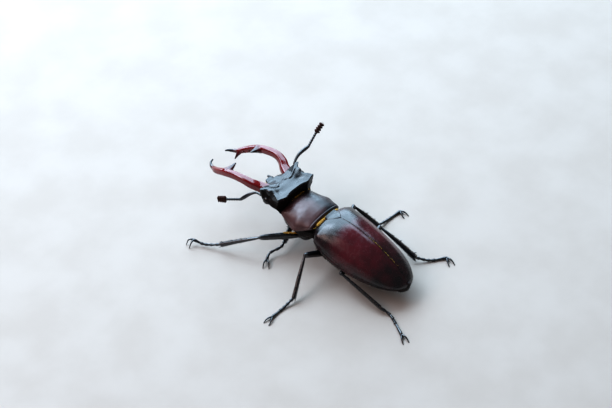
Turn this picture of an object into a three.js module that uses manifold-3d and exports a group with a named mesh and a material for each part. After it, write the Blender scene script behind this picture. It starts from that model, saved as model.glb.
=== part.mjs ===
// Male stag beetle (Lucanus cervus) at life size, set as a still model on a flat floor.
// Units are millimetres. The beetle faces -Y, its left side is +X, up is +Z and the floor is z = 0.
// Each node is one closed solid; neighbours are kept GAP apart by cutting one with a grown copy
// of the other.
import * as THREE from 'three';
import { LoftGeometry } from 'three/addons/geometries/LoftGeometry.js';
import { mergeVertices } from 'three/addons/utils/BufferGeometryUtils.js';
import Module from 'manifold-3d';

const wasm = await Module();
wasm.setup();
const { Manifold, Mesh } = wasm;

// ---------- driving sizes ----------
const GAP = 0.12;            // clearance between neighbouring plates and joints
const SHELL = 0.8;           // thickness of a wing case
const ELYTRA_LENGTH = 29.2;
const HIND_FRAME = { at: [0, 0, 15.1], yaw: 0, pitch: 5.9, roll: -2.5 };
const PRONOTUM_FRAME = { at: [0, -1.95, 14.2], yaw: 0, pitch: 6.4, roll: -2.8 };
const HEAD_FRAME = { at: [0, -12.9, 17.29], yaw: -2, pitch: 9.7, roll: -1.2 };
const JAW_BASE = [0, -8.5, -3.6];                          // in the head's frame
const JAW_TURN = { yaw: 3, pitch: -7, roll: -5 };          // how the pair is carried on the head
const FACET_TOLERANCE = 0.06; // facets flatter than this to their neighbours are merged
const LEG_SIDES = 8;
const FOOT_SIDES = 6;

// ---------- small helpers ----------
const V = (x, y, z) => new THREE.Vector3(x, y, z);
const vec = (p) => (p.isVector3 ? p.clone() : V(...p));
const mix = (a, b, t) => a + (b - a) * t;

// Pose of a body region: yaw about Z, nose-up pitch about X, roll about Y (degrees).
function pose({ at, yaw = 0, pitch = 0, roll = 0 }) {
  const r = Math.PI / 180;
  return new THREE.Matrix4().makeTranslation(...at)
    .multiply(new THREE.Matrix4().makeRotationZ(yaw * r))
    .multiply(new THREE.Matrix4().makeRotationX(-pitch * r))
    .multiply(new THREE.Matrix4().makeRotationY(roll * r));
}

// Smooth value along a table of [station, value] rows.
function curveOf(table) {
  return (s) => {
    const n = table.length - 1;
    if (s <= table[0][0]) return table[0][1];
    if (s >= table[n][0]) return table[n][1];
    const i = table.findIndex((row) => row[0] > s) - 1;
    const slope = (k) => {
      if (k <= 0 || k >= n) return 0;
      const a = (table[k][1] - table[k - 1][1]) / (table[k][0] - table[k - 1][0]);
      const b = (table[k + 1][1] - table[k][1]) / (table[k + 1][0] - table[k][0]);
      return a * b <= 0 ? 0 : (2 * a * b) / (a + b);
    };
    const h = table[i + 1][0] - table[i][0];
    const t = (s - table[i][0]) / h;
    const first = i === 0 ? (table[1][1] - table[0][1]) / h : slope(i);
    const last = i + 1 === n ? (table[n][1] - table[n - 1][1]) / h : slope(i + 1);
    return table[i][1] * (1 + 2 * t) * (1 - t) ** 2 + first * h * t * (1 - t) ** 2
      + table[i + 1][1] * t * t * (3 - 2 * t) + last * h * t * t * (t - 1);
  };
}

// Closed skin over a row of rings, capped at both ends, with its faces turned outwards.
function loft(rings) {
  const first = rings[0];
  const centre = (ring) => ring.reduce((sum, p) => sum.add(p), V(0, 0, 0)).divideScalar(ring.length);
  const start = centre(first);
  const facing = first.reduce((sum, p, k) => sum.add(p.clone().sub(start)
    .cross(first[(k + 1) % first.length].clone().sub(start))), V(0, 0, 0));
  const outward = facing.dot(centre(rings[1]).sub(start)) > 0;
  const skin = new LoftGeometry(outward ? rings : rings.map((ring) => [...ring].reverse()),
    { capStart: true, capEnd: true });
  const bare = new THREE.BufferGeometry();
  bare.setAttribute('position', skin.attributes.position);
  bare.setIndex(skin.index);
  const welded = mergeVertices(bare, 1e-5);
  return new Manifold(new Mesh({
    numProp: 3,
    vertProperties: new Float32Array(welded.attributes.position.array),
    triVerts: new Uint32Array(welded.index.array),
  }));
}

const place = (solid, frame) => solid.transform(pose(frame).elements);
const join = (solids) => Manifold.union(solids);

function ball(at, radii) {
  return Manifold.sphere(1, 8).scale(radii).translate(at);
}

// Round limb along a smooth path: radius and flatness are functions of the way along it, 0 to 1.
// side is the direction of the wide axis of its cross section. Both ends are blunted by a smaller
// ring, END_SHARE of the last one and as far out.
const END_SHARE = 0.6;
function limb(path, radius, options = {}) {
  const { rings = 8, sides = LEG_SIDES, flat = () => 1, side = [0, 0, 1], grow = 0 } = options;
  const curve = new THREE.CatmullRomCurve3(path.map(vec), false, 'catmullrom', 0.5);
  const ring = (t, share, out) => {
    const wide = (radius(t) + grow) * share;
    const thick = (radius(t) * flat(t) + grow) * share;
    const along = curve.getTangent(t);
    const centre = curve.getPoint(t).addScaledVector(along, out * thick);
    const a = vec(side).addScaledVector(along, -vec(side).dot(along)).normalize().multiplyScalar(wide);
    const b = along.clone().cross(a).setLength(thick);
    return Array.from({ length: sides }, (_, k) => {
      const turn = ((k + 0.5) / sides) * 2 * Math.PI;
      return centre.clone().addScaledVector(a, Math.cos(turn)).addScaledVector(b, Math.sin(turn));
    });
  };
  const shaft = Array.from({ length: rings + 1 }, (_, i) => ring(i / rings, 1, 0));
  return loft([ring(0, END_SHARE, -1), ...shaft, ring(1, END_SHARE, 1)]);
}

// Four-sided spike from foot to tip; along and half are the directions and half sizes of its base.
function spike(foot, tip, along, half) {
  const across = tip.clone().sub(foot).cross(along).normalize().multiplyScalar(half);
  const length = along.clone().normalize().multiplyScalar(half * 1.3);
  return Manifold.hull([foot.clone().add(across), foot.clone().sub(across), foot.clone().add(length),
    foot.clone().sub(length), tip].map((p) => p.toArray()));
}

// Ring across a body region at station y: an arch over its widest level, a bowl below it.
function archRing(y, half, top, level, bottom, { count = 24, arch = 1.95, bowl = 2.6, grow = 0 } = {}) {
  return Array.from({ length: count }, (_, k) => {
    const turn = ((k + 0.5) / count) * 2 * Math.PI;
    const c = Math.cos(turn);
    const s = Math.sin(turn);
    const power = s > 0 ? arch : bowl;
    const x = (half + grow) * Math.sign(c) * Math.abs(c) ** (2 / power);
    const reach = s > 0 ? top + grow - level : level - bottom + grow;
    return V(x, y, level + reach * Math.sign(s) * Math.abs(s) ** (2 / power));
  });
}

// Ring through mirrored key points [x, z], from the middle of the top to the middle of the bottom.
function keyedRing(y, keys, { count = 24, grow = 0 } = {}) {
  const right = keys.map(([x, z]) => V(x, y, z));
  const left = keys.slice(1, -1).reverse().map(([x, z]) => V(-x, y, z));
  const curve = new THREE.CatmullRomCurve3([...right, ...left], true, 'catmullrom', 0.35);
  const middle = V(0, y, (keys[0][1] + keys[keys.length - 1][1]) / 2);
  return curve.getPoints(count).slice(0, count).map((p) => {
    const out = p.clone().sub(middle);
    return p.addScaledVector(out.normalize(), grow);
  });
}

// ---------- wing cases, abdomen and thorax (in the hind frame) ----------
const elytraHalf = curveOf([
  [0, 6.9], [1.6, 8.65], [5, 9.05], [10, 9], [14, 8.65], [18, 8.05], [22, 7.2], [25, 6],
  [27.4, 4.3], [28.6, 2.8], [ELYTRA_LENGTH, 1],
]);
const elytraTop = curveOf([
  [0, -0.6], [0.6, 0.1], [4, 1.5], [8, 1.6], [12, 1.2], [16, 0.7], [20, -0.5], [24, -2.15],
  [27, -4.1], [28.6, -5.5], [ELYTRA_LENGTH, -6.2],
]);
const elytraEdge = curveOf([
  [0, -3.2], [4, -5.1], [10, -6.7], [16, -7.2], [22, -6.95], [ELYTRA_LENGTH, -6.8],
]);
const ELYTRA_STATIONS = [0, 0.6, 1.6, 4, 8, 12, 16, 20, 23.5, 26, 28, ELYTRA_LENGTH];

function wingCases() {
  const outer = ELYTRA_STATIONS.map((y) => archRing(y, Math.max(0.8, elytraHalf(y)), elytraTop(y),
    elytraEdge(y), elytraEdge(y) - 0.5, { count: 24, bowl: 6 }));
  const inner = [SHELL, ...ELYTRA_STATIONS.slice(2, -1)].map((y) => archRing(y, elytraHalf(y) - SHELL,
    elytraTop(y) - SHELL, elytraEdge(y) - 0.1, elytraEdge(y) - 6, { count: 16, bowl: 6 }));
  return loft(outer).subtract(loft(inner));
}

const coreHalf = (y) => Math.max(1.1, elytraHalf(Math.min(y, 27.6)) - SHELL - 2 * GAP);
const coreTop = (y) => elytraTop(y) - SHELL - 2 * GAP;
const bellyBottom = curveOf([
  [-2.8, -8], [0, -9.6], [3, -11.1], [7, -11.5], [12, -11.3], [18, -10.5], [24, -9.6], [28, -8.9],
  [30.4, -8.5],
]);

function thorax(grow) {
  const neck = [[-2.8, 4.4, -3.6], [-1.4, 5, -2.7], [0.1, 6.2, -2]].map(([y, half, top]) => archRing(
    y, half, top, -5, bellyBottom(y), { count: 16, grow }));
  const trunk = [1.6, 4, 8, 10 - GAP].map((y) => archRing(y, coreHalf(y), coreTop(y), elytraEdge(y) - 0.2,
    bellyBottom(y), { count: 16, grow }));
  return loft([...neck, ...trunk]);
}

function abdomen(grow) {
  const trunk = [10, 12, 16, 20, 23.5, 26, 28].map((y) => archRing(y, coreHalf(y), coreTop(y),
    elytraEdge(y) - 0.2, bellyBottom(y), { count: 16, grow }));
  const tip = [[28.9, 3.3, -7], [29.6, 2.3, -7.4], [30, 1.1, -7.9]].map(([y, half, top]) => archRing(
    y, half, top, top - 0.4, bellyBottom(y), { count: 16, grow }));
  return loft([...trunk, ...tip]);
}

// Small shield between the bases of the wing cases.
function scutellum(grow) {
  const outline = [[-2.3, -0.1], [2.3, -0.1], [2.1, 1.2], [1.1, 2.8], [0, 3.6], [-1.1, 2.8], [-2.1, 1.2]];
  const corners = outline.flatMap(([x, y]) => {
    const spread = 1 + grow / 2.2;
    const top = elytraTop(Math.max(0.6, y)) + 0.12 - 0.06 * x * x;
    const at = [x * spread, (y - 1.7) * spread + 1.7];
    return [[...at, top + grow], [...at, top - 1 - grow]];
  });
  return Manifold.hull(corners);
}

// ---------- pronotum and prosternum (in the pronotum's frame) ----------
const PRONOTUM_ROWS = [   // station, half width, top, level of the side edge
  [0.4, 5.9, -0.9, -2], [0, 6.3, -0.35, -2.1], [-2.2, 7.3, 0.2, -3.4], [-4.3, 8.1, 0.25, -4.4],
  [-6.3, 7.5, 0, -4.6], [-8.5, 6.7, -0.95, -4.2], [-10.2, 6.2, -2.1, -3.7], [-10.8, 5.9, -2.9, -3.6],
];
const pronotum = (grow) => loft(PRONOTUM_ROWS.map(([y, half, top, level]) => archRing(y, half, top, level,
  level - 0.7, { count: 22, bowl: 5, grow })));

const PROSTERNUM_ROWS = [   // station, half width, bottom
  [0.2, 5, -9], [-2, 6.2, -9.6], [-4.3, 7, -9.8], [-7, 6.8, -9.6], [-9.4, 6, -9.2], [-10.4, 5.4, -8.8],
];
const prosternum = (grow) => loft(PROSTERNUM_ROWS.map(([y, half, bottom]) => archRing(
  y, half, -3.4, -4.6, bottom, { count: 16, bowl: 2.2, grow })));

// ---------- head (in the head's frame, origin at the middle of the rear crest) ----------
const HEAD_ROWS = [   // station, then key points [x, z] from the middle of the top to the middle below
  [4.4, [[0, -3.3], [2.4, -3.5], [4.1, -4.4], [4.7, -5.6], [4.4, -6.4], [3, -7.8], [0, -8.4]]],
  [2, [[0, -2.7], [3.4, -2.8], [5.6, -3.4], [6.3, -4.4], [6.1, -5.4], [4.2, -7.3], [0, -8.5]]],
  [0.8, [[0, -1.7], [4.2, -1.6], [6.6, -1.9], [7.1, -3.3], [6.9, -4.4], [4.8, -7], [0, -8.4]]],
  [0, [[0, -0.1], [4.4, -0.1], [7.4, 0.1], [7.4, -2.1], [7.6, -3.5], [5.2, -6.5], [0, -8.1]]],
  [-1.7, [[0, -0.7], [4, -0.6], [6.7, 0], [7.4, -1.8], [8, -3.4], [5.7, -6.1], [0, -7.7]]],
  [-3.6, [[0, -1.2], [3.7, -0.9], [6.2, -0.2], [7.1, -1.6], [8, -3.1], [6, -5.7], [0, -7.3]]],
  [-5.2, [[0, -2], [3.4, -1.3], [6.4, -0.3], [7.2, -1.4], [7.9, -2.9], [6, -5.6], [0, -7]]],
  [-6.3, [[0, -2.6], [3.8, -1.6], [7.8, -0.25], [7.9, -1], [7.4, -2.8], [5.7, -5.7], [0, -7]]],
  [-6.9, [[0, -2.9], [3.4, -2.1], [7.2, -0.7], [7.5, -1.5], [7, -3], [5.4, -5.9], [0, -7]]],
  [-7.3, [[0, -3.1], [2.4, -2.8], [4.4, -3], [5.4, -3.6], [5.4, -4.6], [4.2, -6], [0, -6.8]]],
  [-8.5, [[0, -3.6], [1.3, -3.6], [2.2, -3.8], [2.5, -4.3], [2.4, -4.9], [1.7, -5.6], [0, -6]]],
];
const head = (grow) => loft(HEAD_ROWS.map(([y, keys]) => keyedRing(y, keys, { count: 20, grow })));
const eye = (sign, grow) => ball([sign * 7.2, -3.9, -3.3], [1.15 + grow, 1.45 + grow, 1.25 + grow]);

function mouthparts() {
  const lip = Manifold.hull([[-1.9, -8.2, -4.1], [1.9, -8.2, -4.1], [-1.2, -9.9, -4.7], [1.2, -9.9, -4.7],
    [-1.9, -8.2, -5.5], [1.9, -8.2, -5.5], [-1.1, -9.8, -5.3], [1.1, -9.8, -5.3]]);
  const chin = Manifold.hull([[-2.9, -7.9, -6], [2.9, -7.9, -6], [-1.9, -9.5, -6.2],
    [1.9, -9.5, -6.2], [-2.8, -7.9, -7], [2.8, -7.9, -7], [-1.6, -9.3, -6.9], [1.6, -9.3, -6.9],
    [0, -8.6, -5.2], [0, -9.3, -5.3]]);
  const palps = [-1, 1].map((side) => limb(
    [[side * 1.9, -8.8, -6.5], [side * 2.5, -10.2, -6.7], [side * 2.3, -11.7, -7.2]],
    (t) => mix(0.42, 0.32, t), { rings: 3, sides: 5 },
  ));
  return join([lip, chin, ...palps]);
}

// ---------- mandibles (pair frame: carried on the head, mirrored left and right) ----------
const JAW_CURVE = [
  [4.7, -6.2, -3.6], [5.7, -8.6, -3.2], [7, -10.7, -2.5], [7.6, -13.4, -2.1], [7.6, -17, -2.7],
  [7.4, -20.6, -4], [6.6, -23.8, -5.9], [5.5, -25.9, -7.1],
];
const JAW_TIP = [[5.5, -25.9, -7.1], [4.9, -27.3, -7.4], [3.9, -28.4, -7.3], [2.8, -28.6, -6.9]];
const JAW_PRONG = [[5.6, -25.4, -7.2], [4.8, -25.6, -8.1], [3.8, -25.5, -8.8]];
const JAW_TOOTH = [[7.2, -19.6, -3.5], [5.4, -19.6, -3], [3.4, -19.7, -2.5]];
const DENTICLES = [0.78, 0.86];        // how far along the shaft the small inner teeth stand
const jawHeight = curveOf([[0, 1.5], [0.25, 1.5], [0.4, 1.38], [0.66, 1.22], [0.87, 1.1], [1, 1]]);
const jawWidthShare = curveOf([[0, 1.4], [0.14, 1.3], [0.25, 1.12], [0.42, 0.88], [1, 0.85]]);

function mandible(sign) {
  const shaft = new THREE.CatmullRomCurve3(JAW_CURVE.map(vec));
  const tapering = (t) => mix(0.95, 0.3, t);
  const parts = [
    limb(JAW_CURVE, jawHeight, { rings: 9, sides: 8, flat: jawWidthShare }),
    limb(JAW_TIP, tapering, { rings: 3, sides: 6 }),
    limb(JAW_PRONG, tapering, { rings: 2, sides: 6 }),
    limb(JAW_TOOTH, tapering, { rings: 2, sides: 6 }),
  ];
  for (const t of DENTICLES) {
    const foot = shaft.getPoint(t).add(V(-0.4, 0, 0));
    parts.push(spike(foot, foot.clone().add(V(-1.5, -0.1, -0.1)), V(0, 1, 0), 0.6));
  }
  const whole = join(parts).translate(JAW_BASE.map((v) => -v)).scale([sign, 1, 1]);
  return place(place(whole, { at: JAW_BASE, ...JAW_TURN }), HEAD_FRAME);
}

// ---------- antennae (on the floor's axes): elbowed stalk, short whip, comb-like club ----------
const ANTENNAE = {
  left: { stalk: [[6.3, -20.6, 14.2], [5.9, -22.9, 13.4], [6.8, -24.6, 12.4], [8.4, -26.6, 10.3]],
    club: [10.4, -30.6, 9.3], tip: [11.2, -32.8, 8.6] },
  right: { stalk: [[-7.4, -19.6, 14.8], [-8.6, -20.7, 15.9], [-11.3, -21.1, 17.4], [-14.7, -20.4, 18.5]],
    club: [-18.9, -21, 20.7], tip: [-21.6, -21.1, 22] },
};
function scape({ stalk }, grow) {
  return limb(stalk, (t) => mix(0.32, 0.5, t), { rings: 6, sides: 6, grow });
}
function whip({ stalk, club }, grow) {
  const beads = 4;
  const beaded = (t) => 0.3 + 0.09 * Math.abs(Math.sin(Math.PI * beads * t));
  return limb([stalk[stalk.length - 1], club], beaded, { rings: 2 * beads, sides: 6, grow });
}
function clubLeaves({ club, tip }) {
  const from = vec(club);
  const run = vec(tip).sub(from);
  const drop = V(0, 0, -1).addScaledVector(run, run.z / run.lengthSq()).normalize();
  const leaves = [0.12, 0.38, 0.64, 0.9].map((t) => {
    const heart = from.clone().addScaledVector(run, t);
    const top = heart.clone().addScaledVector(drop, -0.75);
    const end = heart.clone().addScaledVector(drop, mix(0.85, 0.65, t)).addScaledVector(run, 0.12);
    const wide = drop.clone().cross(run).setLength(0.55);
    const thick = run.clone().setLength(0.28);
    const corners = [[1, 1], [1, -1], [-1, 1], [-1, -1]];
    return Manifold.hull([top, end].flatMap((p) => corners.map(
      ([a, b]) => p.clone().addScaledVector(wide, a).addScaledVector(thick, b).toArray())));
  });
  const axis = limb([from, vec(tip)], (t) => mix(0.36, 0.3, t), { rings: 1, sides: 6 });
  return join([axis, ...leaves]);
}

// ---------- legs (on the floor's axes) ----------
// Joints from the body outwards: hip, knee, ankle, then points along the foot to the end of its last
// joint; claws is the way the claws point. thigh and shin are radii, teeth the thorns of the shin.
const FRONT = { thigh: 1.05, shin: 0.72, teeth: 4 };
const MIDDLE = { thigh: 1, shin: 0.7, teeth: 3 };
const HIND = { thigh: 1, shin: 0.7, teeth: 2 };
const LEGS = {
  front_left: {
    hip: [3.2, -6, 4.9], knee: [14, -14.1, 7.2], ankle: [19.9, -24.1, 2.3],
    foot: [[22.1, -28.6, 1.1], [23.4, -32, 1.8]], claws: [1.9, -0.6, -0.7], ...FRONT,
  },
  middle_left: {
    hip: [4, 3.2, 4.3], knee: [12.8, 1.3, 9.4], ankle: [21.6, 4.7, 1.7],
    foot: [[25.7, 4.2, 0.45], [30.2, 4, 0.42]], claws: [2.9, 0.3, -0.25], ...MIDDLE,
  },
  hind_left: {
    hip: [4, 10.4, 3.4], knee: [9.2, 11.5, 6], ankle: [9.1, 25.3, 1.8],
    foot: [[8.6, 28.6, 0.5], [10.2, 31.9, 0.42], [12.2, 35.4, 0.42]], claws: [1.5, 2.8, -0.25], ...HIND,
  },
  front_right: {
    hip: [-3.2, -6, 4.7], knee: [-6.3, -15.3, 5.4], ankle: [7.1, -10.9, 3],
    foot: [[9.6, -10.3, 2.4], [13, -11.6, 1.7], [15.2, -11, 1]], claws: [2.2, 1.6, -0.6], ...FRONT,
  },
  middle_right: {
    hip: [-4, 3.2, 4], knee: [-12.1, -1.2, 8.2], ankle: [-15.5, 5.1, 1.4],
    foot: [[-20.4, 5.4, 0.45], [-25.4, 6, 0.42]], claws: [0.6, 2.9, -0.25], ...MIDDLE,
  },
  hind_right: {
    hip: [-4, 10.2, 3.2], knee: [-12.6, 8.2, 5.4], ankle: [-12.2, 21.3, 1.8],
    foot: [[-15.1, 24.7, 0.5], [-19.1, 27.8, 0.42]], claws: [1.5, 3, -0.25], ...HIND,
  },
};

const coxa = ({ hip, knee }, grow) => {
  const turn = Math.atan2(knee[1] - hip[1], knee[0] - hip[0]) * 180 / Math.PI;
  return ball([0, 0, 0], [2.1 + grow, 1.35 + grow, 1.5 + grow]).rotate([0, 0, turn]).translate(hip);
};
const femur = ({ hip, knee, thigh }, grow) => limb([hip, knee],
  curveOf([[0, 0.6 * thigh], [0.18, 0.78 * thigh], [0.5, thigh], [0.8, 0.92 * thigh], [1, 0.72 * thigh]]),
  { rings: 5, flat: () => 0.8, grow });

// The side of the shin that carries its thorns: away from the body, across the shin, a little up.
function shinOut({ knee, ankle }) {
  const along = vec(ankle).sub(vec(knee)).normalize();
  const away = vec(ankle).setZ(0).normalize();
  return away.addScaledVector(along, -away.dot(along)).add(V(0, 0, 0.6)).normalize();
}

function tibia(leg, grow) {
  const { knee, ankle, shin, teeth } = leg;
  const out = shinOut(leg);
  const shaft = limb([knee, ankle], (t) => shin * mix(0.62, 1.15, t),
    { rings: 5, flat: (t) => mix(1, 0.7, t), side: out.toArray(), grow });
  if (grow > 0) return shaft;
  const run = vec(ankle).sub(vec(knee));
  const along = run.clone().normalize();
  const thorn = (t, reach, sign) => {
    const foot = vec(knee).addScaledVector(run, t).addScaledVector(out, sign * shin * 0.5);
    const tip = foot.clone().addScaledVector(out, sign * reach).addScaledVector(along, 0.55 * reach);
    return spike(foot, tip, along, 0.34);
  };
  const row = Array.from({ length: teeth }, (_, k) => thorn(mix(0.45, 0.94, k / (teeth - 1)), 0.8, 1));
  return join([shaft, ...row, thorn(0.97, 0.9, -1)]);
}

// Five foot joints swelling towards their ends, then two claws; whatever dips below the floor is cut flat.
function tarsus({ ankle, foot, claws }) {
  const path = [ankle, ...foot];
  const joints = 5;
  const beads = limb(path, (t) => {
    const within = (t * joints) % 1;
    return t >= 1 ? 0.42 : 0.38 + 0.13 * Math.sin(Math.PI * Math.min(1, within * 1.05)) ** 2;
  }, { rings: joints * 2, sides: FOOT_SIDES });
  const root = vec(foot[foot.length - 1]);
  const ahead = vec(claws);
  const across = ahead.clone().cross(V(0, 0, 1)).normalize();
  const hooks = [-1, 1].map((side) => {
    const bend = root.clone().addScaledVector(ahead, 0.45).addScaledVector(across, side * 0.75);
    bend.z += 0.25;
    const tip = root.clone().addScaledVector(ahead, 0.95).addScaledVector(across, side * 0.85);
    tip.z = 0.15;
    return limb([root, bend, tip], (t) => mix(0.36, 0.28, t), { rings: 2, sides: 4 });
  });
  return join([beads, ...hooks]).trimByPlane([0, 0, 1], 0);
}

// ---------- assembly ----------
const MATERIALS = {
  shell_black: { color: 0x14161b, roughness: 0.32, metalness: 0 },
  pronotum_black: { color: 0x2a2527, roughness: 0.38, metalness: 0 },
  elytra_chestnut: { color: 0x3a1517, roughness: 0.3, metalness: 0 },
  jaw_red: { color: 0x6d0f12, roughness: 0.22, metalness: 0 },
  eye_black: { color: 0x0a0a0c, roughness: 0.18, metalness: 0 },
  leg_black: { color: 0x15171c, roughness: 0.28, metalness: 0 },
  club_brown: { color: 0x2f1a18, roughness: 0.7, metalness: 0 },
  belly_black: { color: 0x191415, roughness: 0.42, metalness: 0 },
};

const solids = [];
const add = (name, slot, solid) => solids.push({ name, slot, solid });
const inHead = (solid) => place(solid, HEAD_FRAME);
const inProno = (solid) => place(solid, PRONOTUM_FRAME);
const inHind = (solid) => place(solid, HIND_FRAME);

const headGrown = inHead(head(GAP));
const pronotumGrown = inProno(pronotum(GAP));
const prosternumGrown = inProno(prosternum(GAP));
const thoraxGrown = inHind(thorax(GAP));
const abdomenGrown = inHind(abdomen(GAP));

add('head', 'shell_black', inHead(head(0).subtract(join([eye(-1, GAP), eye(1, GAP)]))));
add('eye_left', 'eye_black', inHead(eye(1, 0)));
add('eye_right', 'eye_black', inHead(eye(-1, 0)));
add('mouthparts', 'shell_black', inHead(mouthparts()).subtract(headGrown));
add('mandible_left', 'jaw_red', mandible(1).subtract(headGrown));
add('mandible_right', 'jaw_red', mandible(-1).subtract(headGrown));
for (const [side, feeler] of Object.entries(ANTENNAE)) {
  add(`scape_${side}`, 'leg_black', scape(feeler, 0).subtract(headGrown));
  add(`antenna_${side}`, 'leg_black', whip(feeler, 0).subtract(scape(feeler, GAP)));
  add(`club_${side}`, 'club_brown', clubLeaves(feeler).subtract(whip(feeler, GAP)));
}

add('pronotum', 'pronotum_black', inProno(pronotum(0)).subtract(headGrown));
add('prosternum', 'belly_black', inProno(prosternum(0)).subtract(join([headGrown, pronotumGrown])));
add('scutellum', 'shell_black', inHind(scutellum(0)).subtract(pronotumGrown));
const overThorax = join([pronotumGrown, prosternumGrown, inHind(scutellum(GAP))]);
add('thorax', 'belly_black', inHind(thorax(0)).subtract(overThorax));
add('abdomen', 'belly_black', inHind(abdomen(0)));

// The pair of wing cases is cut apart along the suture by a half space for each side.
const caseCore = join([scutellum(GAP), thorax(GAP), abdomen(GAP)]);
const cases = inHind(wingCases().subtract(caseCore)).subtract(pronotumGrown);
const halfSpace = (sign) => {
  const size = 60;
  return inHind(Manifold.cube(size, true).translate([sign * (size + GAP) / 2, 0, 0]));
};
add('elytron_left', 'elytra_chestnut', cases.intersect(halfSpace(1)));
add('elytron_right', 'elytra_chestnut', cases.intersect(halfSpace(-1)));

const bodyGrown = join([thoraxGrown, abdomenGrown, prosternumGrown]);
for (const [name, leg] of Object.entries(LEGS)) {
  add(`coxa_${name}`, 'leg_black', coxa(leg, 0).subtract(bodyGrown));
  add(`femur_${name}`, 'leg_black', femur(leg, 0).subtract(join([coxa(leg, GAP), bodyGrown])));
  add(`tibia_${name}`, 'leg_black', tibia(leg, 0).subtract(femur(leg, GAP)));
  add(`tarsus_${name}`, 'leg_black', tarsus(leg).subtract(tibia(leg, GAP)));
}

// Keep the largest body of each cut, then centre the model over the floor point below its middle.
function mainBody(solid) {
  const bodies = solid.decompose();
  return bodies.reduce((best, body) => (body.volume() > best.volume() ? body : best));
}

const whole = new THREE.Box3();
for (const item of solids) {
  item.solid = mainBody(item.solid).simplify(FACET_TOLERANCE);
  const box = item.solid.boundingBox();
  whole.expandByPoint(vec(Array.from(box.min))).expandByPoint(vec(Array.from(box.max)));
}
const middle = whole.getCenter(V(0, 0, 0));

const group = new THREE.Group();
group.name = 'stag_beetle';
for (const { name, slot, solid } of solids) {
  const { vertProperties, triVerts } = solid.translate([-middle.x, -middle.y, -whole.min.z]).getMesh();
  const geometry = new THREE.BufferGeometry();
  geometry.setAttribute('position', new THREE.BufferAttribute(new Float32Array(vertProperties), 3));
  geometry.setIndex(new THREE.BufferAttribute(new Uint32Array(triVerts), 1));
  geometry.computeVertexNormals();
  const mesh = new THREE.Mesh(geometry, new THREE.MeshStandardMaterial(MATERIALS[slot]));
  mesh.name = name;
  mesh.material.name = slot;
  group.add(mesh);
}

export default group;
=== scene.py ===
# Looks of the male stag beetle: high-resolution plates, limbs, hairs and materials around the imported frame.
# Shapes are laid out in millimetres with the beetle facing -Y, its left side towards +X and the floor
# at z = 0; to_frame() carries them into the frame's metres.
import math

import bmesh
import bpy
import numpy as np
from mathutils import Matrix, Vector
from mathutils.kdtree import KDTree


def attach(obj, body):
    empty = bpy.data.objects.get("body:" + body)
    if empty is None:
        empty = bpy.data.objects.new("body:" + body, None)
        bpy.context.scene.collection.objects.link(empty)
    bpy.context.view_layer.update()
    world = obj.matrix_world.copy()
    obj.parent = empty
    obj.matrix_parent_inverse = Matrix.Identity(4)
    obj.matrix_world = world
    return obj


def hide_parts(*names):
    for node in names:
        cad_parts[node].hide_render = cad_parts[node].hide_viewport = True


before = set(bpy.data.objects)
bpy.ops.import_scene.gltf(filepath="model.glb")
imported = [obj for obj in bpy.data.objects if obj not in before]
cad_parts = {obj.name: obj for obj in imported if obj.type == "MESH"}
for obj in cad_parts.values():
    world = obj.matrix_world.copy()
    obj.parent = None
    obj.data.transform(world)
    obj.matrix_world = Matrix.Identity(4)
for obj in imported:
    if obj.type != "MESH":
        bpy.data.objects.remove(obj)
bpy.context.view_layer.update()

UNIT = 0.001                                   # the layout is in millimetres, the frame in metres
MIDDLE = np.array([3.5742683, -1.8923462, 0])   # layout point that stands at the frame's origin
BODY = "root"
rng = np.random.default_rng(884)
ARCH = 1.95            # exponent of the arched upper half of the body's sections

# Body regions: where each one's own layout sits and how it is turned (degrees).
HIND_FRAME = {"at": (0, 0, 15.1), "pitch": 5.9, "roll": -2.5}
PRONOTUM_FRAME = {"at": (0, -1.95, 14.2), "pitch": 6.4, "roll": -2.8}
HEAD_FRAME = {"at": (0, -12.9, 17.29), "yaw": -2, "pitch": 9.7, "roll": -1.2}
JAW_BASE = np.array([0, -8.5, -3.6])
JAW_TURN = {"yaw": 3, "pitch": -7, "roll": -5}


# ---------- camera ----------
CAMERA_TARGET = Vector((-0.007574, -0.010508, 0.008))    # metres, in the frame
CAMERA_PLACE = Vector((0.23619, 0.19402, 0.32620))
SENSOR_WIDTH = 36       # millimetres
LENS = 91.18            # focal length in millimetres
NEAREST = 0.01          # metres from the camera to the nearest thing it shows


def add_object(name, data):
    thing = bpy.data.objects.new(name, data)
    bpy.context.scene.collection.objects.link(thing)
    return thing


def add_camera():
    data = bpy.data.cameras.new("camera")
    data.sensor_width = SENSOR_WIDTH
    data.lens = LENS
    data.clip_start = NEAREST
    camera = add_object("camera", data)
    camera.location = CAMERA_PLACE
    camera.rotation_euler = (CAMERA_TARGET - CAMERA_PLACE).to_track_quat("-Z", "Y").to_euler()
    bpy.context.scene.camera = camera


add_camera()


# ---------- numbers and curves ----------
def to_frame(points):
    return (np.asarray(points, float) - MIDDLE) * UNIT


def rotation(axis, degrees):
    c, s = math.cos(math.radians(degrees)), math.sin(math.radians(degrees))
    i, j = [(1, 2), (2, 0), (0, 1)][axis]
    matrix = np.eye(3)
    matrix[i, i] = matrix[j, j] = c
    matrix[i, j], matrix[j, i] = -s, s
    return matrix


def place(points, at, yaw=0, pitch=0, roll=0):
    """Points turned by roll, then pitch, then yaw (degrees), and moved to at."""
    turn = rotation(2, yaw) @ rotation(0, -pitch) @ rotation(1, roll)
    return np.asarray(points) @ turn.T + np.asarray(at, float)


def unit(v):
    v = np.asarray(v, float)
    return v / np.maximum(np.linalg.norm(v, axis=-1, keepdims=True), 1e-12)


def cubic(t, start, end, start_slope, end_slope):
    """Value at t (0 to 1) between start and end, with these slopes there."""
    return (start * (1 + 2 * t) * (1 - t) ** 2 + start_slope * t * (1 - t) ** 2
            + end * t * t * (3 - 2 * t) + end_slope * t * t * (t - 1))


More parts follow.
